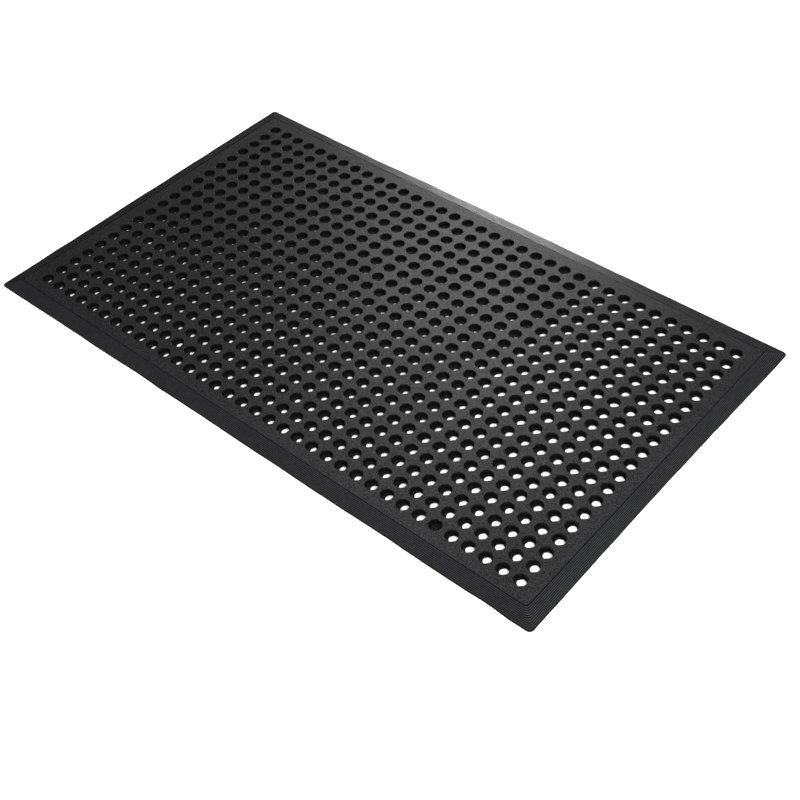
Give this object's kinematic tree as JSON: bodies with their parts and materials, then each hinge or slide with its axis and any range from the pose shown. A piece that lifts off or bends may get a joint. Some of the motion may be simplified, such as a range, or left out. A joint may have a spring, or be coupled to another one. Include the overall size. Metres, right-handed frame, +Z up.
{
  "type": "anti fatigue mat",
  "caption": "Flat rectangular rubber floor mat with a square field of octagonal drain pockets, a plain margin and ribbed bevelled ramps on all four sides.",
  "frame": {"origin": "on the floor under the middle of the mat", "axes": "+X along the length, towards the end with the larger drain openings; +Y across the width; +Z up out of the standing surface"},
  "size_m": [1.5, 0.9, 0.012],
  "materials": {
    "deck_rubber": "matte, fine moulded grain",
    "base_rubber": "matte, as moulded",
    "ramp_rubber": "matte, fine ribs"
  },
  "bodies": {
    "root": {"tread_deck": "deck_rubber", "base_web_wide": "base_rubber", "base_web_narrow": "base_rubber", "ramp_front": "ramp_rubber", "ramp_back": "ramp_rubber", "ramp_left": "ramp_rubber", "ramp_right": "ramp_rubber"}
  },
  "joints": []
}
